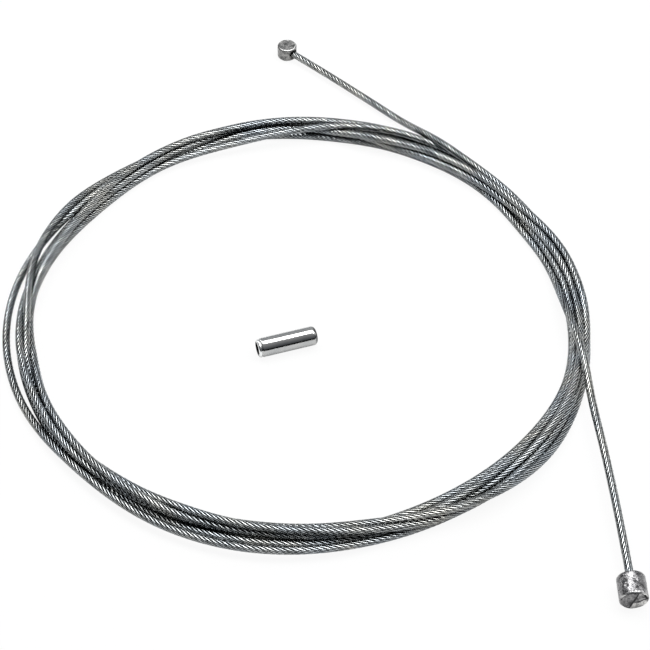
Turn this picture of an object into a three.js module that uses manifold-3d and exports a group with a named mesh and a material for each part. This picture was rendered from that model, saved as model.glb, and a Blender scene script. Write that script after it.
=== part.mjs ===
// A loose coil of thin stranded steel shift cable. One end carries a cast barrel head that lies along
// the cable, and the other a small cast cross head that stands on its end. The bright crimp cap for
// the end that gets cut off lies loose inside the coil. Millimetres, +Z up, all resting on z = 0.
import * as THREE from 'three';
import { mergeVertices } from 'three/addons/utils/BufferGeometryUtils.js';
import Module from 'manifold-3d';

// Cable
const CABLE_DIAMETER = 1.2;
const CABLE_SIDES = 8;
const TAIL_STEP = 3;

// Space kept between pieces that touch
const FACE_GAP = 0.3;

// Coil, a flat-bottomed ring that encloses the turns, centred on x = y = 0
const COIL_INNER_RADIUS = 40;
const COIL_WIDTH = 6.3;
const COIL_HEIGHT = 3.3;
const COIL_EDGE_RADIUS = 1.2;
const COIL_SEGMENTS = 120;

// Each tail leaves the coil's outer wall at an angle round the coil and a height. Its other points are
// chosen by hand, from there towards its head: how far across and along from that place, and the height.
const NEAR_TAIL_ANGLE = -22.4;
const NEAR_TAIL_HEIGHT = 2.7;
const NEAR_TAIL_POINTS = [
  [0.4, -4.2, 2.68],
  [0.7, -7.1, 2.64],
  [0.98, -10, 2.6],
  [1.23, -12.8, 2.54],
  [1.46, -15.6, 2.47],
  [1.67, -18.4, 2.39],
  [1.86, -21.1, 2.31],
  [2.04, -23.8, 2.22],
  [2.2, -26.4, 2.14],
  [2.34, -29, 2.08],
];
const FAR_TAIL_ANGLE = 65.6;
const FAR_TAIL_HEIGHT = 0.9;
const FAR_TAIL_POINTS = [
  [-2.8, 2.85, 0.93],
  [-5.1, 5.1, 0.97],
  [-7.3, 7.2, 1.01],
  [-9.5, 9.3, 1.05],
  [-11.7, 11.4, 1.09],
  [-13.9, 13.45, 1.12],
  [-16.1, 15.5, 1.15],
  [-18.3, 17.5, 1.18],
];

// The shallow entry in each head that the cable goes into
const ENTRY_DEPTH = 0.6;

// Barrel head, lying on its side with its cable face towards the coil, placed from its tail's start
const BARREL_DIAMETER = 4.1;
const BARREL_LENGTH = 4.1;
const BARREL_BACK_BEVEL = 0.2;
const BARREL_FRONT_BEVEL = 0.45;
const BARREL_PLACE = [2.55, -34];
const BARREL_HEADING = -88.5;

// Facets that the sheared casting gate left on the barrel's front face: the way each one faces
// round the axis, how far it leans back, and how far out from the axis it starts
const BARREL_FACETS = [
  { turn: -23, lean: 8, start: -0.2 },
  { turn: 210, lean: 13, start: 0.35 },
  { turn: 127, lean: 16, start: 0.7 },
];

// Cross head, standing on one end, with the cable leaving its side, placed from its tail's start
const CROSS_DIAMETER = 3.4;
const CROSS_HEIGHT = 2.4;
const CROSS_BEVEL = 0.18;
const CROSS_PLACE = [-22.5, 21.3];
const CROSS_HEADING = -42;

// End cap, lying on its side with its mouth to the left
const CAP_DIAMETER = 3;
const CAP_LENGTH = 9.5;
const CAP_EDGE_RADIUS = 0.45;
const CAP_BORE_DIAMETER = 1.7;
const CAP_BORE_DEPTH = 8.2;
const CAP_CENTRE = [-2.1, -5.8];
const CAP_HEADING = 14.5;

const ARC_STEPS = 5;
const ROUND_SEGMENTS = 48;

const wasm = await Module();
wasm.setup();

function radians(degrees) {
  return THREE.MathUtils.degToRad(degrees);
}

// The same surface with its shared corners joined, so that it is one closed mesh
function closed(geometry) {
  geometry.deleteAttribute('normal');
  geometry.deleteAttribute('uv');
  return mergeVertices(geometry, 1e-4);
}

function toSolid(geometry) {
  const surface = closed(geometry);
  return new wasm.Manifold(new wasm.Mesh({
    numProp: 3,
    vertProperties: new Float32Array(surface.attributes.position.array),
    triVerts: new Uint32Array(surface.index.array),
  }));
}

function toGeometry(solid) {
  const mesh = solid.getMesh();
  const geometry = new THREE.BufferGeometry();
  geometry.setAttribute('position', new THREE.BufferAttribute(mesh.vertProperties, 3));
  geometry.setIndex(new THREE.BufferAttribute(mesh.triVerts, 1));
  return geometry;
}

// Points of a quarter turn from one angle to the next about a centre, ends included
function arc(centreX, centreY, radius, fromDegrees, toDegrees) {
  const points = [];
  for (let i = 0; i <= ARC_STEPS; i += 1) {
    const angle = radians(fromDegrees + ((toDegrees - fromDegrees) * i) / ARC_STEPS);
    points.push(new THREE.Vector2(centreX + radius * Math.cos(angle), centreY + radius * Math.sin(angle)));
  }
  return points;
}

// A piece turned on its Y axis and laid flat, so that the axis points along a heading
function layAlong(mesh, centre, heading, height) {
  mesh.position.set(centre[0], centre[1], height);
  mesh.rotation.z = radians(heading - 90);
  return mesh;
}

// The place across and along from where a tail starts
function fromStart(start, place) {
  return [start.x + place[0], start.y + place[1]];
}

// A round bar on the Y axis that cuts the cable's entry into a head whose cable face is at y = face
function entryCutter(face) {
  const radius = CABLE_DIAMETER / 2 + FACE_GAP;
  const length = 2 * ENTRY_DEPTH;
  const cutter = new THREE.CylinderGeometry(radius, radius, length, ROUND_SEGMENTS / 2);
  cutter.translate(0, face, 0);
  return cutter;
}

function metal(colour, roughness) {
  return new THREE.MeshStandardMaterial({ color: colour, roughness, metalness: 0.9 });
}

// Coil

function coilRing() {
  const inner = COIL_INNER_RADIUS;
  const outer = COIL_INNER_RADIUS + COIL_WIDTH;
  const round = COIL_EDGE_RADIUS;
  const top = COIL_HEIGHT - round;
  const profile = [
    new THREE.Vector2(inner + round / 2, 0),
    new THREE.Vector2(outer - round / 2, 0),
    new THREE.Vector2(outer, round / 2),
    ...arc(outer - round, top, round, 0, 90),
    ...arc(inner + round, top, round, 90, 180),
    new THREE.Vector2(inner, round / 2),
    new THREE.Vector2(inner + round / 2, 0),
  ];
  const geometry = closed(new THREE.LatheGeometry(profile, COIL_SEGMENTS));
  geometry.rotateX(Math.PI / 2);
  const mesh = new THREE.Mesh(geometry, metal(0x8b8d8f, 0.45));
  mesh.name = 'cable_coil';
  return mesh;
}

// Tails

// The middle of the cable where it leaves the coil, just clear of the outer wall
function tailStart(angle, height) {
  const radius = COIL_INNER_RADIUS + COIL_WIDTH + FACE_GAP + CABLE_DIAMETER / 2;
  return new THREE.Vector3(radius * Math.cos(radians(angle)), radius * Math.sin(radians(angle)), height);
}

const nearStart = tailStart(NEAR_TAIL_ANGLE, NEAR_TAIL_HEIGHT);
const farStart = tailStart(FAR_TAIL_ANGLE, FAR_TAIL_HEIGHT);
const barrelCentre = fromStart(nearStart, BARREL_PLACE);
const crossCentre = fromStart(farStart, CROSS_PLACE);

function tail(name, start, points, end) {
  const middle = points.map(([x, y, height]) => new THREE.Vector3(start.x + x, start.y + y, height));
  const curve = new THREE.CatmullRomCurve3([start, ...middle, end]);
  const section = new THREE.Shape();
  for (let i = 0; i < CABLE_SIDES; i += 1) {
    const angle = (2 * Math.PI * (i + 0.5)) / CABLE_SIDES;
    const x = (CABLE_DIAMETER / 2) * Math.cos(angle);
    const y = (CABLE_DIAMETER / 2) * Math.sin(angle);
    if (i === 0) {
      section.moveTo(x, y);
    } else {
      section.lineTo(x, y);
    }
  }
  section.closePath();
  const steps = Math.max(2, Math.round(curve.getLength() / TAIL_STEP));
  const geometry = closed(new THREE.ExtrudeGeometry(section, { extrudePath: curve, steps }));
  const mesh = new THREE.Mesh(geometry, metal(0x8b8d8f, 0.45));
  mesh.name = name;
  return mesh;
}

// The near tail ends in the entry in the middle of the barrel's cable face
function nearTail() {
  const heading = radians(BARREL_HEADING);
  const reach = BARREL_LENGTH / 2 - ENTRY_DEPTH + FACE_GAP;
  const end = new THREE.Vector3(
    barrelCentre[0] - reach * Math.cos(heading),
    barrelCentre[1] - reach * Math.sin(heading),
    BARREL_DIAMETER / 2,
  );
  return tail('cable_tail_near', nearStart, NEAR_TAIL_POINTS, end);
}

// The far tail ends in the entry in the cross head's round side, at half its height
function farTail() {
  const heading = radians(CROSS_HEADING);
  const reach = CROSS_DIAMETER / 2 - ENTRY_DEPTH + FACE_GAP;
  const end = new THREE.Vector3(
    crossCentre[0] + reach * Math.cos(heading),
    crossCentre[1] + reach * Math.sin(heading),
    CROSS_HEIGHT / 2,
  );
  return tail('cable_tail_far', farStart, FAR_TAIL_POINTS, end);
}

// Heads

function cylinderWithBevels(radius, length, backBevel, frontBevel) {
  const half = length / 2;
  return new THREE.LatheGeometry([
    new THREE.Vector2(0, -half),
    new THREE.Vector2(radius - backBevel, -half),
    new THREE.Vector2(radius, -half + backBevel),
    new THREE.Vector2(radius, half - frontBevel),
    new THREE.Vector2(radius - frontBevel, half),
    new THREE.Vector2(0, half),
  ], ROUND_SEGMENTS);
}

// A block whose underside leans back from the barrel's front face, starting beside the axis
function facetCutter({ turn, lean, start }) {
  const size = 2 * BARREL_DIAMETER;
  const block = new THREE.BoxGeometry(size, size, size);
  block.translate(size / 2, size / 2, 0);
  block.rotateZ(-radians(lean));
  block.translate(start, BARREL_LENGTH / 2, 0);
  block.rotateY(radians(turn));
  return block;
}

function barrelHead() {
  const radius = BARREL_DIAMETER / 2;
  let solid = toSolid(cylinderWithBevels(radius, BARREL_LENGTH, BARREL_BACK_BEVEL, BARREL_FRONT_BEVEL));
  for (const facet of BARREL_FACETS) {
    solid = solid.subtract(toSolid(facetCutter(facet)));
  }
  solid = solid.subtract(toSolid(entryCutter(-BARREL_LENGTH / 2)));
  const mesh = new THREE.Mesh(toGeometry(solid), metal(0x9a9c9b, 0.4));
  mesh.name = 'barrel_head';
  return layAlong(mesh, barrelCentre, BARREL_HEADING, radius);
}

function crossHead() {
  const body = cylinderWithBevels(CROSS_DIAMETER / 2, CROSS_HEIGHT, CROSS_BEVEL, CROSS_BEVEL);
  body.rotateX(Math.PI / 2);
  const entry = entryCutter(CROSS_DIAMETER / 2);
  entry.rotateZ(radians(CROSS_HEADING - 90));
  const solid = toSolid(body).subtract(toSolid(entry));
  const mesh = new THREE.Mesh(toGeometry(solid), metal(0x8f908d, 0.5));
  mesh.name = 'cross_head';
  mesh.position.set(crossCentre[0], crossCentre[1], CROSS_HEIGHT / 2);
  return mesh;
}

// End cap

function endCap() {
  const radius = CAP_DIAMETER / 2;
  const bore = CAP_BORE_DIAMETER / 2;
  const half = CAP_LENGTH / 2;
  const round = CAP_EDGE_RADIUS;
  const profile = [
    new THREE.Vector2(0, CAP_BORE_DEPTH - half),
    new THREE.Vector2(bore, CAP_BORE_DEPTH - half),
    new THREE.Vector2(bore, -half),
    ...arc(radius - round, round - half, round, -90, 0),
    ...arc(radius - round, half - round, round, 0, 90),
    new THREE.Vector2(0, half),
  ];
  const geometry = closed(new THREE.LatheGeometry(profile, ROUND_SEGMENTS));
  const mesh = new THREE.Mesh(geometry, metal(0xd4d6d8, 0.12));
  mesh.name = 'end_cap';
  return layAlong(mesh, CAP_CENTRE, CAP_HEADING, radius);
}

const part = new THREE.Group();
part.add(coilRing(), nearTail(), farTail(), barrelHead(), crossHead(), endCap());

// The origin is the middle of the whole part's base
const box = new THREE.Box3().setFromObject(part, true);
const middle = box.getCenter(new THREE.Vector3());
part.position.set(-middle.x, -middle.y, 0);

export default part;
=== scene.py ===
import math
import random

import bmesh
import bpy
import numpy as np
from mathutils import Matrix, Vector, noise


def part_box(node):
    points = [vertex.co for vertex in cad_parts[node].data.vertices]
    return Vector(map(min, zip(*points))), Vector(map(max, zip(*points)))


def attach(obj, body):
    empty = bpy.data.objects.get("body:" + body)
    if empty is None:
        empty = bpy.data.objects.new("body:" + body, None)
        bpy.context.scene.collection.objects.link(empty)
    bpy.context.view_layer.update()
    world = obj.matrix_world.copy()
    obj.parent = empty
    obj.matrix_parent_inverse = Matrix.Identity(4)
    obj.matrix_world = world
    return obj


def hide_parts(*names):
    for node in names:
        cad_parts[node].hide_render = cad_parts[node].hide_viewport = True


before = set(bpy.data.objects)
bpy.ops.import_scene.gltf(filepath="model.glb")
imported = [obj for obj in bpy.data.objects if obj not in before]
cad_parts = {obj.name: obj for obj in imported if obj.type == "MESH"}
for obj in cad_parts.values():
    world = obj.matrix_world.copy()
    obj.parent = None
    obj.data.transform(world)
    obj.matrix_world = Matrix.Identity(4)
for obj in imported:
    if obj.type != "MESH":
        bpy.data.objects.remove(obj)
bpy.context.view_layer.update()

MM = 0.001

# The coil's middle in the row frame. Everything below is in millimetres about it until it becomes a mesh.
coil_low, coil_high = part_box("cable_coil")
MIDDLE = np.array([(coil_low.x + coil_high.x) / 2, (coil_low.y + coil_high.y) / 2, 0]) / MM

# Camera: a long lens that looks down at the coil from in front.
ELEVATION = math.radians(48)
DISTANCE = 295
AIM = [3.80, -0.98, 0]
SENSOR_WIDTH = 36
LENS = 104.2

eye = MIDDLE + np.array(AIM) + DISTANCE * np.array([0, -math.cos(ELEVATION), math.sin(ELEVATION)])
camera_data = bpy.data.cameras.new("camera")
camera_data.sensor_width = SENSOR_WIDTH
camera_data.lens = LENS
camera_data.clip_start = 0.01
camera_data.clip_end = 10
camera = bpy.data.objects.new("camera", camera_data)
camera.location = Vector(eye * MM)
camera.rotation_euler = (math.pi / 2 - ELEVATION, 0, 0)
bpy.context.scene.collection.objects.link(camera)
bpy.context.scene.camera = camera

# The cable's route: its sizes, its two tails and the heads that they end in.
CABLE_DIAMETER = 1.2
STRAND_WIDTH = 1.22
WALL_RADIUS = 47.2
MEAN_RADIUS = 43.12
LANE_WIDTH = 1.04
LAYER_HEIGHT = 1.04

# The tail with the cross head leaves the coil at this angle. The points count from where it leaves.
FAR_ANGLE = 65.6
FAR_HEIGHT = 0.9
FAR_POINTS = [
    [-2.8, 2.85, 0.93],
    [-5.1, 5.1, 0.97],
    [-7.3, 7.2, 1.01],
    [-9.5, 9.3, 1.05],
    [-11.7, 11.4, 1.09],
    [-13.9, 13.45, 1.12],
    [-16.1, 15.5, 1.15],
    [-18.3, 17.5, 1.18],
]
CROSS_PLACE = [-22.5, 21.3]
CROSS_HEADING = -42
CROSS_RADIUS = 1.7
CROSS_HEIGHT = 2.4

# The tail with the barrel head does the same on the other side.
NEAR_ANGLE = -22.4
NEAR_HEIGHT = 2.7
NEAR_POINTS = [
    [0.4, -4.2, 2.68],
    [0.7, -7.1, 2.64],
    [0.98, -10, 2.6],
    [1.23, -12.8, 2.54],
    [1.46, -15.6, 2.47],
    [1.67, -18.4, 2.39],
    [1.86, -21.1, 2.31],
    [2.04, -23.8, 2.22],
    [2.2, -26.4, 2.14],
    [2.34, -29, 2.08],
]
BARREL_PLACE = [2.55, -34]
BARREL_HEADING = -88.5
BARREL_LENGTH = 4.1
BARREL_HEIGHT = 2.05
ENTRY_DEPTH = 0.6

# The coil's turns, wound clockwise from the far end. Each key is degrees round the turn, the lane
# counted out from the mean radius, and the layer, where 0 lies on the floor.
TURNS = [
    [
        (0, 3.3, 0.3), (3, 2.9, 0.4), (7, 2.3, 0.7), (12, 1.8, 0.85), (17, 1.35, 0.9), (27, 0.6, 0.8),
        (38, 0.4, 0.4), (58, 0.9, 0), (78, 1.3, 0), (92, 2.5, 0.8), (105, 2.8, 1.3), (115, 2.5, 1.9),
        (130, 0.8, 2), (136, -0.1, 2), (141, -0.6, 1.7), (147, -1.3, 1.2), (156, -2.3, 0.3), (167, -2.5, 0),
        (175, -2.2, 0), (186, -1.3, 0), (209, -0.8, 0), (257, -0.1, 0), (278, -1.6, 0), (291, -1.8, 0.4),
        (301, -1.7, 0.8), (311, -2.2, 1), (320, -2.2, 1), (326, -2.1, 1.5), (332, -1.8, 2), (341, -0.9, 2),
        (348, 0.3, 2), (357, 2, 1.2),
    ],
    [
        (1, 2.3, 1), (16, 1.5, 0.8), (37, 0, 0), (48, -0.6, 0), (59, -1, 0.3), (76, 0, 0), (86, -0.3, 0.2),
        (96, -1.1, 0), (107, -1.6, 0), (118, -2, 0), (129, -2.1, 0), (150, -1.4, 0), (166, -0.95, 0),
        (182, 0, 1), (190, -0.1, 1.5), (222, 0, 1), (242, 0.2, 0.8), (256, 0, 0.8), (278, -0.9, 0.6),
        (289, -1.3, 1.2), (306, -0.6, 1.5), (321, 0.9, 1.2), (330, 1.3, 1), (357, 0.9, 0.7),
    ],
    [
        (6, 1.2, 0.6), (11, 1, 0.5), (21, -0.2, 0.3), (33, -1.4, 0.7), (49, -1, 1), (71, -0.3, 0.9),
        (77, 0.1, 0.8), (108, -0.7, 1), (140, -0.3, 0.8), (174, -0.9, 1), (223, -0.7, 1.7),
        (240, -0.5, 1.7), (253, -0.3, 0.8), (260, -0.7, 1), (270, -1.5, 2), (281, -1.2, 2), (291, -0.4, 2),
        (302, 0.6, 1.5), (311, 0.7, 1.5), (321, 1.3, 1.4), (335, 1.7, 1.2), (357, 2.7, 0),
    ],
    [
        (10, 2.3, 0), (31, 0.8, 0), (58, 0.2, 0), (97, 1.2, 0), (109, 1.3, 0), (120, 1.1, 0.2),
        (140, 1.4, 0.8), (166, 2.1, 1), (182, 1.9, 1), (203, 1.3, 1), (224, 2.3, 0), (246, 2.8, 0),
        (263, 2.3, 0), (292, 0.5, 0.6), (302, 0.6, 0.8), (330, 1.5, 0), (348, -0.4, 0.2), (358, -1, 0.4),
    ],
    [
        (24, -1.5, 1.4), (38, -0.7, 1.5), (48, 0, 1.1), (88, 0.7, 1), (136, 0.1, 0.7), (149, 0.6, 0.9),
        (166, 0.8, 0.8), (190, 0.5, 0.5), (213, 0.7, 0.2), (225, 0.45, 0.1), (240, 0.3, 0.1), (297, 0, 0),
        (311, -0.4, 0.6), (335, 0.4, 0.6), (348, -0.2, 0.7),
    ],
    [
        (2, -0.3, 1), (18, -0.9, 2), (33, -0.7, 2), (48, 0.6, 1.2), (59, 0.8, 1), (116, 1.7, 1),
        (120, 1.8, 1.3), (132, 1.3, 2), (147, -0.4, 2), (163, -1.4, 1.2), (174, -1.6, 1), (191, -1.6, 0.3),
        (209, -0.7, 0.3), (219, -0.6, 0.5), (232, -0.3, 1.2), (243, -0.4, 2), (261, 1.1, 1.8),
        (278, 2, 0.8), (293, 1.7, 0), (303, 1.5, 0), (321, -0.1, 0), (344, -1.1, 0.2),
    ],
    [
        (3, -1.7, 0.4), (12, -1.6, 0.5), (33, -2, 0.7), (48, -1.9, 1), (60, -1.7, 1.2), (67, -1.4, 1.6),
        (71.4, -0.5, 2.1), (80.1, 1.3, 2.5), (88, 3.92, 2.02),
    ],
]

# How the turns settle. NEST is how near two strands' middles may come, and the last turn may climb
# from the pile's height to the top's over the given stretch before its end.
STATIONS_PER_TURN = 180
RELAX_STEPS = 520
SETTLE_STEPS = 120
FINAL_STEPS = 40
NEST = 1.12
STACKED_SHARE = 0.35
LANE_PULL = 0.25
LAYER_PULL = 0.01
GRAVITY = 0.001
SETTLE_HOLD = 0.06
PUSH_LIMIT = 0.15
FIRM_EASING = 0.5
LIGHT_EASING = 0.15
PILE_HEIGHT = 2.7
TOP_HEIGHT = 3.45
CLIMB_DEGREES = [40, 10]


def turn_plan():
    """The keys of all the turns as one run: degrees wound, radius and height."""
    wound = []
    radius = []
    height = []
    for number, keys in enumerate(TURNS):
        for degrees, lane, layer in keys:
            wound.append(360 * number + degrees)
            radius.append(MEAN_RADIUS + LANE_WIDTH * lane)
            height.append(CABLE_DIAMETER / 2 + LAYER_HEIGHT * layer)
    return np.array(wound, float), np.array(radius), np.array(height)


def through(x, y, q):
    """A smooth curve through uneven keys, read at q."""
    step = np.diff(x)
    rise = np.diff(y) / step
    slope = np.empty_like(y)
    slope[1:-1] = (rise[:-1] * step[1:] + rise[1:] * step[:-1]) / (step[1:] + step[:-1])
    slope[0] = rise[0]
    slope[-1] = rise[-1]
    i = np.clip(np.searchsorted(x, q) - 1, 0, len(x) - 2)
    u = (q - x[i]) / step[i]
    start = (2 * u**3 - 3 * u**2 + 1) * y[i] + (u**3 - 2 * u**2 + u) * step[i] * slope[i]
    end = (3 * u**2 - 2 * u**3) * y[i + 1] + (u**3 - u**2) * step[i] * slope[i + 1]
    return start + end


def eased(v, weight):
    """Takes sharp bends out of a run of values without pulling it inwards."""
    bend = np.zeros_like(v)
    bend[1:-1] = (v[:-2] + v[2:]) / 2 - v[1:-1]
    turn = np.zeros_like(v)
    turn[1:-1] = (bend[:-2] + bend[2:]) / 2 - bend[1:-1]
    return v - weight * turn


def coil_turns():
    """The turns settled on each other. Each keeps near its lane, rests on what is below and bends gently."""
    wound, radius, height = turn_plan()
    q = np.arange(wound[0], wound[-1], 360 / STATIONS_PER_TURN)
    lane_r = through(wound, radius, q)
    lane_z = np.maximum(through(wound, height, q), CABLE_DIAMETER / 2)
    r = lane_r.copy()
    z = lane_z.copy()
    count = len(q)
    first = []
    second = []
    for apart in range(1, len(TURNS)):
        a = np.arange(0, count - apart * STATIONS_PER_TURN)
        first.append(a)
        second.append(a + apart * STATIONS_PER_TURN)
    first = np.concatenate(first)
    second = np.concatenate(second)
    above = np.where(lane_z[second] >= lane_z[first], 1.0, -1.0)
    # A strand that settles lower or higher than planned also moves in or out, so that it shows in its lane.
    facing = np.sin(np.radians(FAR_ANGLE - q))
    sight = -(0.9 + 0.2 * facing) * facing
    top = np.interp(q, [q[-1] - CLIMB_DEGREES[0], q[-1] - CLIMB_DEGREES[1]], [PILE_HEIGHT, TOP_HEIGHT])
    for step in range(RELAX_STEPS):
        left = 1 - step / RELAX_STEPS
        hold = 1 if step < RELAX_STEPS - SETTLE_STEPS else SETTLE_HOLD
        r += LANE_PULL * hold * (0.4 + 0.6 * left) * (lane_r - r + sight * (z - lane_z))
        z += LAYER_PULL * hold * (0.2 + 0.8 * left) * (lane_z - z) - GRAVITY * hold
        for _ in range(3):
            dr = r[second] - r[first]
            dz = z[second] - z[first]
            gap = np.hypot(dr, dz) + 1e-9
            over = np.clip(NEST - gap, 0, None)
            stacked = gap < STACKED_SHARE * NEST
            push_r = 0.3 * over * np.where(stacked, 0.2 * np.sign(dr + 1e-6), dr / gap)
            push_z = 0.5 * over * np.where(stacked, above, dz / gap)
            move_r = np.bincount(second, push_r, count) - np.bincount(first, push_r, count)
            move_z = np.bincount(second, push_z, count) - np.bincount(first, push_z, count)
            r += np.clip(move_r, -PUSH_LIMIT, PUSH_LIMIT)
            z += np.clip(move_z, -PUSH_LIMIT, PUSH_LIMIT)
            z = np.clip(z, CABLE_DIAMETER / 2, top)
        final = step >= RELAX_STEPS - FINAL_STEPS
        for _ in range(1 if final else 3):
            r = eased(r, LIGHT_EASING if final else FIRM_EASING)
            z = eased(z, LIGHT_EASING if final else FIRM_EASING)
        z = np.clip(z, CABLE_DIAMETER / 2, top)
        r[0] = lane_r[0]
        z[0] = lane_z[0]
    angle = np.radians(FAR_ANGLE - q)
    return np.stack([r * np.cos(angle), r * np.sin(angle), z], 1)


def on_wall(degrees, height):
    angle = math.radians(degrees)
    return np.array([WALL_RADIUS * math.cos(angle), WALL_RADIUS * math.sin(angle), height])


def heading(degrees):
    return np.array([math.cos(math.radians(degrees)), math.sin(math.radians(degrees)), 0])


def spaced(points, spacing, passes):
    """The points resampled at even spacing on a smooth curve."""
    for _ in range(2):
        along = np.r_[0, np.cumsum(np.linalg.norm(np.diff(points, axis=0), axis=1))]
        t = np.linspace(0, along[-1], int(round(along[-1] / spacing)) + 1)
        points = np.stack([through(along, points[:, i], t) for i in range(3)], 1)
        for _ in range(passes):
            points[1:-1] += 0.5 * ((points[:-2] + points[2:]) / 2 - points[1:-1])
    return points


far_start = on_wall(FAR_ANGLE, FAR_HEIGHT)
near_start = on_wall(NEAR_ANGLE, NEAR_HEIGHT)
cross_middle = far_start + np.array([CROSS_PLACE[0], CROSS_PLACE[1], CROSS_HEIGHT / 2 - FAR_HEIGHT])
barrel_middle = near_start + np.array([BARREL_PLACE[0], BARREL_PLACE[1], BARREL_HEIGHT - NEAR_HEIGHT])
cross_way = heading(CROSS_HEADING)
barrel_way = heading(BARREL_HEADING)
far_end = cross_middle + (CROSS_RADIUS - ENTRY_DEPTH) * cross_way
barrel_face = barrel_middle - BARREL_LENGTH / 2 * barrel_way
near_end = barrel_face + ENTRY_DEPTH * barrel_way

ROUTE_SPACING = 1.5
RING_SPACING = 0.55
far_tail = [far_start * [1, 1, 0] + np.array(p) for p in reversed(FAR_POINTS)]
near_tail = [near_start * [1, 1, 0] + np.array(p) for p in NEAR_POINTS]
route = np.vstack([[far_end], far_tail, coil_turns()[2:-1], [near_start], near_tail, [near_end]])
route = spaced(route, ROUTE_SPACING, 2)
rings = spaced(route, RING_SPACING, 1)[::-1]

# The cable itself: twelve wires laid round a core.
OUTER_WIRES = 12
LAY_LENGTH = 10.5
CREST = STRAND_WIDTH / 2
GROOVE = CREST - 0.1
SHADE_SEED = 7
SHADE_RINGS = 6
TOUCH_REACH = 1.8
TOUCH_FADE = 0.5
TOUCH_SKIP = 20


def linked(name, mesh):
    item = bpy.data.objects.new(name, mesh)
    bpy.context.scene.collection.objects.link(item)
    return item


def smoothed(mesh):
    mesh.polygons.foreach_set("use_smooth", [True] * len(mesh.polygons))
    mesh.update()


def marked(mesh, name, values):
    """Keeps a number for each of the mesh's points, for its material to read."""
    mesh.attributes.new(name, "FLOAT", "POINT").data.foreach_set("value", values)


def contact_shade_mask(line, spokes):
    """Painted shade's mask: how near each spoke of each ring is to another stretch of the cable, 1 where
    they meet.
    """
    found = np.zeros(spokes.shape[:2])
    index = np.arange(len(line))
    for i in range(len(line)):
        away = line - line[i]
        gap = np.linalg.norm(away, axis=1)
        near = (gap < TOUCH_REACH) & (np.abs(index - i) > TOUCH_SKIP)
        if near.any():
            toward = spokes[i] @ (away[near] / gap[near][:, None]).T
            beside = np.clip((TOUCH_REACH - gap[near]) / TOUCH_FADE, 0, 1)
            found[i] = (np.clip((toward - 0.6) / 0.35, 0, 1) * beside).max(axis=1)
    return found


def wire_shades(count):
    """How light each wire is: a shade of its own, with lighter and darker stretches of a few millimetres."""
    random.seed(SHADE_SEED)
    shades = []
    for _ in range(OUTER_WIRES):
        own = random.random()
        knots = [0.5 * own + 0.5 * random.random() for _ in range(count // SHADE_RINGS + 2)]
        shades.append(np.interp(np.arange(count), SHADE_RINGS * np.arange(len(knots)), knots))
    return np.stack(shades, 1)


def strand(name, line):
    """A tube with one crest for each outer wire, twisted along the line."""
    count = len(line)
    tangent = np.gradient(line, axis=0)
    tangent /= np.linalg.norm(tangent, axis=1)[:, None]
    side = np.cross(tangent, [0, 0, 1])
    side /= np.linalg.norm(side, axis=1)[:, None]
    up = np.cross(side, tangent)
    along = np.r_[0, np.cumsum(np.linalg.norm(np.diff(line, axis=0), axis=1))]
    around = 2 * OUTER_WIRES
    spoke = np.arange(around)
    radius = np.where(spoke % 2 == 0, CREST, GROOVE)
    turn = -2 * math.pi * along / LAY_LENGTH
    angle = 2 * math.pi * spoke[None] / around + turn[:, None]
    spokes = np.cos(angle)[..., None] * side[:, None] + np.sin(angle)[..., None] * up[:, None]
    points = line[:, None] + radius[None, :, None] * spokes
    points = np.vstack([points.reshape(-1, 3), line[:1], line[-1:]])
    i, j = np.meshgrid(np.arange(count - 1), spoke, indexing="ij")
    k = (j + 1) % around
    a = i * around
    faces = np.stack([a + j, a + k, a + around + k, a + around + j], -1).reshape(-1, 4).tolist()
    tip = count * around
    last = (count - 1) * around
    for j in range(around):
        faces.append([tip, (j + 1) % around, j])
        faces.append([tip + 1, last + j, last + (j + 1) % around])
    mesh = bpy.data.meshes.new(name)
    mesh.from_pydata(((points + MIDDLE) * MM).tolist(), [], faces)
    marked(mesh, "crest", np.r_[np.tile((spoke % 2 == 0) * 1.0, count), 0, 0])
    marked(mesh, "wire", np.r_[np.repeat(wire_shades(count), 2, axis=1).ravel(), 0, 0])
    marked(mesh, "contact_shade", np.r_[contact_shade_mask(line, spokes).ravel(), 0, 0])
    smoothed(mesh)
    return linked(name, mesh)


cable = strand("cable", rings)


# The heads.
SKIN_LIMIT = 0.012
PIT_LEVEL = 0.32


def cast(node, name, voxel, rough, pits, seed):
    """A head as cast: the CAD form with its edges softened, an uneven skin and small pits."""
    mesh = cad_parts[node].data.copy()
    mesh.name = name
    item = linked(name, mesh)
    remesh = item.modifiers.new("remesh", "REMESH")
    remesh.mode = "VOXEL"
    remesh.voxel_size = voxel * MM
    remesh.use_smooth_shade = True
    smooth = item.modifiers.new("smooth", "SMOOTH")
    smooth.factor = 0.5
    smooth.iterations = 3
    bpy.context.view_layer.update()
    done = bpy.data.meshes.new_from_object(item.evaluated_get(bpy.context.evaluated_depsgraph_get()))
    item.modifiers.clear()
    item.data = done
    normals = [v.normal.copy() for v in done.vertices]
    shift = Vector((seed * 7.3, seed * 3.1, seed * 5.7))
    for v, normal in zip(done.vertices, normals):
        place = v.co / MM + shift
        swell = rough * noise.fractal(place * 0.9, 0.9, 2.1, 4)
        swell -= pits * max(0, noise.noise(place * 2.3 + shift) - PIT_LEVEL)
        swell -= 0.5 * rough * abs(noise.noise(place * 6))
        v.co += normal * min(swell, SKIN_LIMIT) * MM
    smoothed(done)
    return item


barrel = cast("barrel_head", "barrel_cast", voxel=0.055, rough=0.035, pits=0.25, seed=1)
cross = cast("cross_head", "cross_cast", voxel=0.045, rough=0.03, pits=0.12, seed=2)
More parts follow.
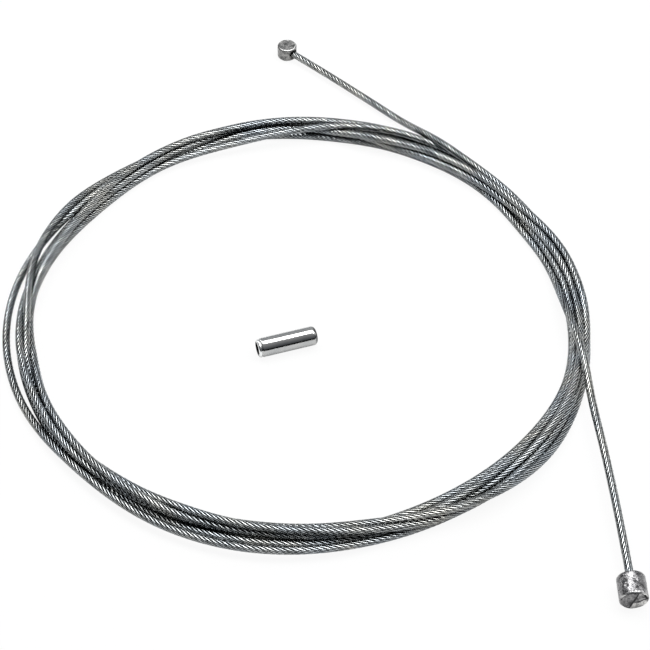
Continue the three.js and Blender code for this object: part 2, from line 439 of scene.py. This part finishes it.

# The barrel's front, where off-axis distances run up to its radius of about 2. Its tones paint light and
# shade on its parts, shade in its creases and in the groove round its rim, and a highlight on its upper rim.
FRONT_REACH = 0.75
FRONT_FLAT_RADIUS = 1.78
EDGE_SETBACK = 0.3
GLINT_SETBACK = 0.36
GLINT_RADIUS = 1.86
GLINT_WIDTH = 0.15
GROOVE_RADIUS = 1.76
GROOVE_WIDTH = 0.17
GROOVE_DEPTH = 0.03
CREASE_WIDTH = 0.1
CREASE_DEPTH = 0.07
LEFT_DEPTH = 0.05
PLAIN_TONE = 0.5
# Painted light and shade on the front: a shaded left part, a lit upper part and a brighter lit lower part.
LEFT_SHADED_TONE = 0.3
UPPER_LIT_TONE = 0.6
LOWER_LIT_TONE = 0.9


def ridge(distance, width):
    """1 on a line, falling to nothing about two widths away from it."""
    return math.exp(-((distance / width) ** 2))


def clamped(value, low=0, high=1):
    return min(high, max(low, value))


def painted_barrel_front(off):
    """The barrel front's tone, relief and painted rim highlight: painted shade on the left half and in the
    creases, painted light on two parts.
    """
    across = off @ np.array([-barrel_way[1], barrel_way[0], 0])
    up = off[2]
    away = math.hypot(across, up)
    ahead = off @ barrel_way - BARREL_LENGTH / 2
    if ahead < -FRONT_REACH:
        return PLAIN_TONE, 0.0, 0.0
    if away > FRONT_FLAT_RADIUS or ahead < -EDGE_SETBACK:
        # A painted highlight along the upper rim.
        glint = ridge(ahead + GLINT_SETBACK, GLINT_WIDTH) if away > GLINT_RADIUS else 0.0
        glint *= clamped(up - 0.5) * (0.3 + 0.7 * (abs(across - 0.75) > 0.25))
        # Painted shade in the groove round the rim, darker towards the top.
        dark = ridge(away - GROOVE_RADIUS, GROOVE_WIDTH) * clamped(0.6 + up, 0.2)
        return PLAIN_TONE * (1 - dark), GROOVE_DEPTH * dark, glint
    # Painted shade on the left part and painted light on the two others, with painted shade in the creases
    # between them.
    upright = across + 0.1 - 0.3 * up
    level = up + 0.15 - 0.3 * across
    if upright < 0:
        cut = ridge(abs(upright), CREASE_WIDTH)
        return LEFT_SHADED_TONE * (1 - cut), CREASE_DEPTH * cut + LEFT_DEPTH, 0.0
    cut = ridge(min(upright, abs(level)), CREASE_WIDTH)
    tone = UPPER_LIT_TONE if level > 0 else LOWER_LIT_TONE
    return tone * (1 - cut), CREASE_DEPTH * cut, 0.0


painted_face_tones = []
painted_glints = []
for v in barrel.data.vertices:
    tone, relief, glint = painted_barrel_front(np.array(v.co) / MM - MIDDLE - barrel_middle)
    painted_face_tones.append(tone)
    painted_glints.append(glint)
    v.co -= Vector(barrel_way * relief * MM)
# Painted light and shade on the barrel's front, and painted highlights on its rim, for the material to read.
marked(barrel.data, "painted_face_light", painted_face_tones)
marked(barrel.data, "rim_glint", painted_glints)

# The cross head's upper edge carries a painted highlight on the side that faces this way.
CROSS_GLINT_HEADING = -55
CROSS_GLINT_INSET = 0.2
CROSS_GLINT_WIDTH = 0.08
CROSS_GLINT_HEIGHT = 0.25

painted_glints = []
for v in cross.data.vertices:
    off = np.array(v.co) / MM - MIDDLE - cross_middle
    inset = math.hypot(off[0], off[1]) - CROSS_RADIUS + CROSS_GLINT_INSET
    facing = math.cos(math.atan2(off[1], off[0]) - math.radians(CROSS_GLINT_HEADING))
    glint = ridge(inset, CROSS_GLINT_WIDTH) * clamped(1.6 * facing + 0.3)
    painted_glints.append(glint if off[2] - CROSS_HEIGHT / 2 > -CROSS_GLINT_HEIGHT else 0.0)
marked(cross.data, "rim_glint", painted_glints)

# The end cap.
CAP_RADIUS = 1.5
CAP_LENGTH = 9.5
CAP_BORE_RADIUS = 0.85
CAP_BORE_DEPTH = 8.2
CAP_CENTRE = [-2.1, -5.8]
CAP_HEADING = 17.5
CAP_SIDES = 96
LIP_DEPTH = 0.36
LIP_RADIUS = 1.16
LIP_THICKNESS = 0.3
DOME_RADIUS = 0.7
BORE_SHADE_RADIUS = 1.14


def cap_profile():
    """The cap's half section, as distance along and radius, from the bore's floor to the closed end."""
    half = CAP_LENGTH / 2
    floor = CAP_BORE_DEPTH - half
    line = [(floor, 0.0001), (floor, 0.55), (floor - 0.2, CAP_BORE_RADIUS), (-half + 1, CAP_BORE_RADIUS)]
    for i in range(13):
        a = math.pi * (i / 12 - 0.5)
        line.append((-half + LIP_DEPTH - LIP_DEPTH * math.cos(a), LIP_RADIUS + LIP_THICKNESS * math.sin(a)))
    for along, below in ((0.44, 0.12), (0.54, 0.13), (0.62, 0.05), (0.74, 0.01), (0.9, 0), (2.5, 0)):
        line.append((-half + along, CAP_RADIUS - below))
    line += [(0, CAP_RADIUS), (half - 2.5, CAP_RADIUS), (half - 0.9, CAP_RADIUS)]
    for i in range(13):
        a = math.pi / 2 * i / 12
        along = half - DOME_RADIUS + DOME_RADIUS * math.sin(a)
        line.append((along, CAP_RADIUS - DOME_RADIUS + DOME_RADIUS * math.cos(a)))
    line += [(half - 0.01, 0.4), (half - 0.03, 0.0001)]
    return line


def lathe(name, profile, middle, along, sides):
    """The profile turned round a level axis that runs along a direction through the middle."""
    across = np.array([-along[1], along[0], 0])
    up = np.array([0, 0, 1.0])
    points = []
    for x, radius in profile:
        for k in range(sides):
            a = 2 * math.pi * k / sides
            points.append(middle + x * along + radius * (math.cos(a) * across + math.sin(a) * up))
    faces = []
    for i in range(len(profile) - 1):
        for k in range(sides):
            n = (k + 1) % sides
            faces.append([i * sides + k, i * sides + n, (i + 1) * sides + n, (i + 1) * sides + k])
    mesh = bpy.data.meshes.new(name)
    mesh.from_pydata([tuple(p * MM) for p in np.array(points) + MIDDLE], [], faces)
    work = bmesh.new()
    work.from_mesh(mesh)
    bmesh.ops.remove_doubles(work, verts=work.verts, dist=0.000002)
    bmesh.ops.recalc_face_normals(work, faces=work.faces)
    work.to_mesh(mesh)
    work.free()
    smoothed(mesh)
    return linked(name, mesh)


cap_middle = np.array(CAP_CENTRE + [CAP_RADIUS])
cap_way = heading(CAP_HEADING)
cap = lathe("cap_shell", cap_profile(), cap_middle, cap_way, CAP_SIDES)

# For each point of the cap: 1 in the bore, which the material paints near black as shade, 0.5 on the lip,
# which it paints lighter as a highlight, and 0 elsewhere, and how far on the closed end it lies.
bore_shade_and_lip_glint = []
domes = []
for v in cap.data.vertices:
    off = np.array(v.co) / MM - MIDDLE - cap_middle
    along = off @ cap_way
    away = np.linalg.norm(off - along * cap_way)
    domes.append(clamped((along - CAP_LENGTH / 2 + 0.55) / 0.3) if away > 0.9 else 0.6)
    if away < BORE_SHADE_RADIUS and along < 4:
        bore_shade_and_lip_glint.append(1.0)
    else:
        bore_shade_and_lip_glint.append(0.5 if along < 0.4 - CAP_LENGTH / 2 else 0.0)
marked(cap.data, "bore_shade_lip_glint", bore_shade_and_lip_glint)
marked(cap.data, "dome", domes)


# Materials.
def shade(value):
    """A colour with its alpha, from one number for a grey or from three."""
    return (value, value, value, 1) if isinstance(value, (int, float)) else (*value, 1)


class Graph:
    """A node tree and short ways to add to it. A value may be a number, a colour or a node's output."""

    def __init__(self, tree):
        self.nodes = tree.nodes
        self.links = tree.links

    def add(self, kind):
        return self.nodes.new("ShaderNode" + kind)

    def put(self, socket, value):
        if isinstance(value, bpy.types.NodeSocket):
            self.links.new(value, socket)
        else:
            socket.default_value = value

    def maths(self, operation, *values, clamp=False):
        item = self.add("Math")
        item.operation = operation
        item.use_clamp = clamp
        for socket, value in zip(item.inputs, values):
            self.put(socket, value)
        return item.outputs[0]

    def facing(self, way):
        """How far a direction in the world points the given way."""
        item = self.add("VectorMath")
        item.operation = "DOT_PRODUCT"
        item.inputs[1].default_value = way
        self.put(item.inputs[0], self.add("TexCoord").outputs["Generated"])
        return item.outputs["Value"]

    def attribute(self, name):
        item = self.add("Attribute")
        item.attribute_name = name
        return item.outputs["Fac"]

    def colour(self, value):
        item = self.add("RGB")
        item.outputs[0].default_value = shade(value)
        return item.outputs[0]

    def grain(self, scale, detail=4.0, rough=0.6):
        """Noise in the row frame, with its scale in waves per millimetre."""
        item = self.add("TexNoise")
        item.inputs["Scale"].default_value = scale / MM
        item.inputs["Detail"].default_value = detail
        item.inputs["Roughness"].default_value = rough
        self.put(item.inputs["Vector"], self.add("TexCoord").outputs["Object"])
        return item.outputs["Fac"]

    def ramp(self, source, *stops):
        item = self.add("ValToRGB")
        elements = item.color_ramp.elements
        for element, (position, value) in zip(elements, (stops[0], stops[-1])):
            element.position = position
            element.color = shade(value)
        for position, value in stops[1:-1]:
            elements.new(position).color = shade(value)
        self.put(item.inputs["Fac"], source)
        return item.outputs["Color"]

    def between(self, source, least, most, least_at=0.3, most_at=0.7):
        item = self.add("MapRange")
        item.inputs["From Min"].default_value = least_at
        item.inputs["From Max"].default_value = most_at
        item.inputs["To Min"].default_value = least
        item.inputs["To Max"].default_value = most
        self.put(item.inputs["Value"], source)
        return item.outputs["Result"]

    def mixed(self, kind, factor, first, second):
        item = self.add("Mix")
        item.data_type = "RGBA"
        item.blend_type = kind
        self.put(item.inputs[0], factor)
        self.put(item.inputs[6], first)
        self.put(item.inputs[7], second)
        return item.outputs[2]

    def times(self, first, second, factor=1.0):
        return self.mixed("MULTIPLY", factor, first, second)

    def blended(self, factor, first, second):
        """A mix of two shaders."""
        item = self.add("MixShader")
        for socket, value in zip(item.inputs, (factor, first, second)):
            self.put(socket, value)
        return item.outputs[0]

    def wire_profile(self):
        """The round back of each wire, from the crest value that runs from its groove to its top."""
        down = self.maths("SUBTRACT", 1.0, self.attribute("crest"))
        square = self.maths("MULTIPLY", down, down)
        return self.maths("SQRT", self.maths("SUBTRACT", 1.0, square, clamp=True))


def metal(name):
    made = bpy.data.materials.new(name)
    made.use_nodes = True
    return made, Graph(made.node_tree)


def finish(graph, tone, gloss, relief, strength, distance):
    """Gives a metal its colour, its roughness and a relief whose distance is in millimetres."""
    shader = graph.nodes["Principled BSDF"]
    shader.inputs["Metallic"].default_value = 1.0
    graph.put(shader.inputs["Base Color"], tone)
    graph.put(shader.inputs["Roughness"], gloss)
    bump = graph.add("Bump")
    bump.inputs["Strength"].default_value = strength
    bump.inputs["Distance"].default_value = distance * MM
    graph.put(bump.inputs["Height"], relief)
    graph.put(shader.inputs["Normal"], bump.outputs["Normal"])


# The colour of the painted highlights on the heads' rims.
GLINT_WHITE = (0.95, 0.95, 0.93)

wire_steel, g = metal("galvanised_wire")
tone = g.ramp(
    g.attribute("wire"),
    (0.15, (0.33, 0.34, 0.34)),
    (0.5, (0.67, 0.68, 0.68)),
    (0.85, (0.98, 0.98, 0.96)),
)
tone = g.times(tone, g.ramp(g.grain(0.12), (0.35, (0.86, 0.93, 1)), (0.65, (1, 0.99, 0.94))))
tone = g.times(tone, g.ramp(g.grain(3.5), (0.34, 0.4), (0.54, 1)), 0.25)
# Painted shade: the grooves between the wires are darkened.
tone = g.times(tone, g.ramp(g.attribute("crest"), (0, 0.02), (0.4, 0.14), (0.72, 1)))
# Painted shade where the cable lies against another stretch of itself.
tone = g.times(tone, g.ramp(g.attribute("contact_shade"), (0, 1), (0.6, 0.8), (1, 0.3)))
finish(g, tone, g.between(g.grain(1.5), 0.16, 0.28), g.wire_profile(), 1.0, 0.17)

barrel_zinc, g = metal("barrel_zinc")
tone = g.ramp(g.grain(0.8, 6), (0.36, 0.05), (0.47, (0.22, 0.218, 0.222)), (0.6, (0.46, 0.455, 0.455)))
tone = g.times(tone, g.ramp(g.grain(4.0), (0.36, (0.4, 0.4, 0.42)), (0.52, 1)), 0.85)
# Painted light and shade on the front's parts, and painted shade in its creases and groove.
tone = g.times(tone, g.ramp(g.attribute("painted_face_light"), (0, 0.03), (0.5, 1), (1, (2.2, 2.2, 2.1))))
# A painted highlight on the upper rim.
tone = g.mixed("MIX", g.attribute("rim_glint"), tone, g.colour(GLINT_WHITE))
finish(g, tone, g.between(g.grain(1.6), 0.16, 0.36), g.grain(2.5, 6), 0.6, 0.08)

cross_zinc, g = metal("cross_zinc")
tone = g.ramp(g.grain(0.9, 6), (0.36, 0.09), (0.5, (0.24, 0.24, 0.235)), (0.64, (0.4, 0.395, 0.385)))
# A painted highlight on the upper edge.
tone = g.mixed("MIX", g.attribute("rim_glint"), tone, g.colour(GLINT_WHITE))
finish(g, tone, g.between(g.grain(1.4), 0.3, 0.52), g.grain(2.2, 6), 0.5, 0.07)

cap_bright, g = metal("cap_bright")
tone = g.ramp(g.grain(0.35), (0.35, (0.42, 0.43, 0.43)), (0.65, (0.52, 0.52, 0.51)))
# Painted shade in the bore and a painted highlight on the lip.
tone = g.times(tone, g.ramp(g.attribute("bore_shade_lip_glint"), (0, 1), (0.5, 1.8), (0.75, 0.01)))
tone = g.times(tone, g.colour((0.12, 0.12, 0.13)), g.attribute("dome"))
finish(g, tone, g.between(g.grain(1.2), 0.06, 0.13), g.grain(1.6, 5), 0.12, 0.03)

for piece, look, slot in (
    (cable, wire_steel, "cable"),
    (barrel, barrel_zinc, "barrel_head"),
    (cross, cross_zinc, "cross_head"),
    (cap, cap_bright, "end_cap"),
):
    piece.data.materials.clear()
    piece.data.materials.append(look)
    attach(piece, "root")

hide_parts("cable_coil", "cable_tail_near", "cable_tail_far")
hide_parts("barrel_head")
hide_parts("cross_head")
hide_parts("end_cap")

# The floor: white to the camera, a dimmer white to reflections, and it keeps a part of the shadow. From
# here on lengths are in metres.
FLOOR_HALF = 1.5
FLOOR_DROP = 0.00001
FLOOR_COLOUR = 0.86
SEEN_SHARE = 0.92
MIRRORED_SHARE = 0.3

floor_mesh = bpy.data.meshes.new("floor")
corners = [(x * FLOOR_HALF, y * FLOOR_HALF, 0) for x, y in ((-1, -1), (1, -1), (1, 1), (-1, 1))]
floor_mesh.from_pydata(corners, [], [[0, 1, 2, 3]])
floor = linked("floor", floor_mesh)
floor.location.z = -FLOOR_DROP
paper = bpy.data.materials.new("floor_white")
paper.use_nodes = True
floor_mesh.materials.append(paper)
g = Graph(paper.node_tree)
g.nodes.clear()
matte = g.add("BsdfDiffuse")
matte.inputs["Color"].default_value = shade(FLOOR_COLOUR)
glow = g.add("Emission")
glow.inputs["Strength"].default_value = 1.0
rays = g.add("LightPath").outputs
mirrored = g.maths("MAXIMUM", rays["Is Glossy Ray"], rays["Is Transmission Ray"])
dimmed = g.maths("MULTIPLY", mirrored, MIRRORED_SHARE)
share = g.maths("MULTIPLY_ADD", rays["Is Camera Ray"], SEEN_SHARE, dimmed)
surface = g.blended(share, matte.outputs[0], glow.outputs[0])
g.put(g.add("OutputMaterial").inputs["Surface"], surface)

# The world: white to the camera. The rest is a room with a dark front near the floor and a grey wall behind.
world = bpy.data.worlds.new("studio")
bpy.context.scene.world = world
world.use_nodes = True
g = Graph(world.node_tree)
g.nodes.clear()
ceiling = g.ramp(
    g.facing((0.1, 0.25, 1.0)),
    (0, (0.008, 0.008, 0.009)),
    (0.06, (0.02, 0.02, 0.022)),
    (0.2, (0.11, 0.115, 0.125)),
    (0.5, (0.2, 0.205, 0.215)),
    (1, (0.46, 0.46, 0.47)),
)
wall = g.ramp(g.facing((0.0, 1.0, 0.0)), (0.55, 0), (0.9, (0.28, 0.29, 0.3)))
room = g.add("Background")
g.put(room.inputs["Color"], g.mixed("ADD", 1.0, ceiling, wall))
white = g.add("Background")
white.inputs["Color"].default_value = shade(1)
seen = g.add("LightPath").outputs["Is Camera Ray"]
g.put(g.add("OutputWorld").inputs["Surface"], g.blended(seen, room.outputs[0], white.outputs[0]))


def softbox(name, place, width, depth, power):
    """A lamp that faces the middle of the floor."""
    data = bpy.data.lights.new(name, "AREA")
    data.shape = "RECTANGLE"
    data.size = width
    data.size_y = depth
    data.energy = power
    item = bpy.data.objects.new(name, data)
    item.location = place
    item.rotation_euler = (-Vector(place)).to_track_quat("-Z", "Y").to_euler()
    bpy.context.scene.collection.objects.link(item)


softbox("softbox_top", (0.06, 0.13, 0.53), 0.8, 0.28, 3.7)
softbox("softbox_right", (0.5, 0.12, 0.24), 0.34, 0.36, 0.45)
softbox("softbox_behind", (-0.32, 0.36, 0.26), 0.12, 0.24, 0.3)
softbox("softbox_left", (-0.5, -0.1, 0.3), 0.3, 0.3, 0.12)

bpy.context.scene.view_settings.view_transform = "Standard"
